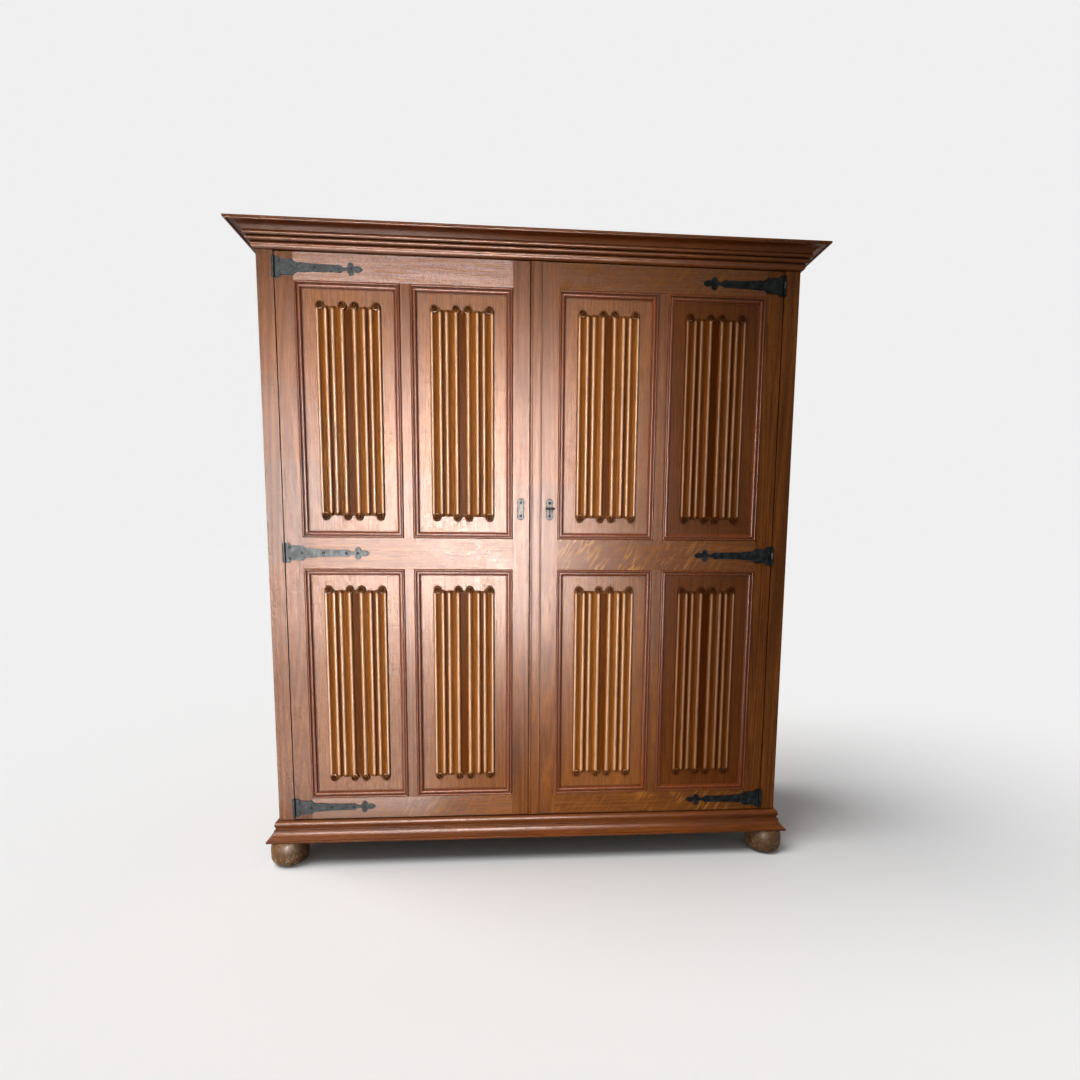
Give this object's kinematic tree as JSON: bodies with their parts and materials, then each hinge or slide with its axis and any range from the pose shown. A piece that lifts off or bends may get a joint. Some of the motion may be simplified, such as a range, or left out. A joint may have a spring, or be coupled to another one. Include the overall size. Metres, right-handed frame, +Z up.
{
  "type": "two-door cupboard",
  "caption": "Joined oak cupboard: two framed doors with linenfold panels on strap hinges, stepped cornice, moulded plinth and bun feet.",
  "frame": {"origin": "on the floor, in the middle of the cupboard's outline, cornice included", "axes": "+X to the right of someone facing the doors, +Y from the doors to the back, +Z up"},
  "size_m": [1.724, 0.622, 1.9],
  "materials": {
    "oak_frame": "stained oak, satin wax",
    "oak_panel": "carved oak, satin wax, lighter ridges",
    "oak_moulding": "dark stained oak, satin wax",
    "oak_inside": "plain oak, dry",
    "black_iron": "blackened forged iron, worn",
    "lock_steel": "dull steel"
  },
  "bodies": {
    "carcass": {"post_front_left": "oak_frame", "post_front_right": "oak_frame", "post_rear_left": "oak_frame", "post_rear_right": "oak_frame", "side_rails_left": "oak_frame", "side_rails_right": "oak_frame", "side_panels_left": "oak_inside", "side_panels_right": "oak_inside", "front_rail_top": "oak_frame", "front_rail_bottom": "oak_frame", "back_rails": "oak_inside", "back_muntin": "oak_inside", "back_panels": "oak_inside", "top_board": "oak_frame", "bottom_board": "oak_inside", "cornice_front": "oak_moulding", "cornice_left": "oak_moulding", "cornice_right": "oak_moulding", "plinth_front": "oak_moulding", "plinth_left": "oak_moulding", "plinth_right": "oak_moulding", "bun_feet": "oak_frame", "centre_partition": "oak_inside", "shelves": "oak_inside", "shelf_bearers": "oak_inside", "hanging_rail": "oak_inside", "rail_sockets": "oak_inside", "hinge_pintles": "black_iron"},
    "door_left": {"hinge_stile_left": "oak_frame", "meeting_stile_left": "oak_frame", "top_rail_left": "oak_frame", "middle_rail_left": "oak_frame", "bottom_rail_left": "oak_frame", "muntins_left": "oak_frame", "linenfold_upper_left": "oak_panel", "linenfold_lower_left": "oak_panel", "panel_mouldings_left": "oak_moulding", "strap_hinges_left": "black_iron", "iron_nails_left": "black_iron", "key_plate_left": "black_iron", "keeper": "lock_steel", "door_bolt_guides": "lock_steel"},
    "door_right": {"hinge_stile_right": "oak_frame", "meeting_stile_right": "oak_frame", "meeting_strip": "oak_frame", "top_rail_right": "oak_frame", "middle_rail_right": "oak_frame", "bottom_rail_right": "oak_frame", "muntins_right": "oak_frame", "linenfold_upper_right": "oak_panel", "linenfold_lower_right": "oak_panel", "panel_mouldings_right": "oak_moulding", "strap_hinges_right": "black_iron", "iron_nails_right": "black_iron", "key_plate_right": "black_iron", "lock_case": "lock_steel"},
    "door_bolt_top": {"door_bolt_top": "lock_steel"},
    "door_bolt_bottom": {"door_bolt_bottom": "lock_steel"},
    "lock_bolt": {"lock_bolt": "lock_steel"},
    "key": {"key": "black_iron"}
  },
  "joints": [
    {"name": "door_left_swing", "type": "hinge", "parent": "carcass", "child": "door_left", "pos_m": [-0.7515, -0.254, 0.99], "axis": [0, 0, -1], "range_deg": [0, 170]},
    {"name": "door_right_swing", "type": "hinge", "parent": "carcass", "child": "door_right", "pos_m": [0.7515, -0.254, 0.99], "axis": [0, 0, 1], "range_deg": [0, 170]},
    {"name": "key_turn", "type": "hinge", "parent": "door_right", "child": "key", "pos_m": [0.044, -0.249, 1.119], "axis": [0, -1, 0], "range_deg": [0, 180]},
    {"name": "lock_bolt_slide", "type": "slide", "parent": "door_right", "child": "lock_bolt", "axis": [-1, 0, 0], "range_m": [0, 0.016]},
    {"name": "door_bolt_top_slide", "type": "slide", "parent": "door_left", "child": "door_bolt_top", "axis": [0, 0, 1], "range_m": [0, 0.015]},
    {"name": "door_bolt_bottom_slide", "type": "slide", "parent": "door_left", "child": "door_bolt_bottom", "axis": [0, 0, -1], "range_m": [0, 0.015]}
  ],
  "couplings": [
    {"joint": "key_turn", "follows": "lock_bolt_slide", "rad_per_m": 196.35}
  ]
}
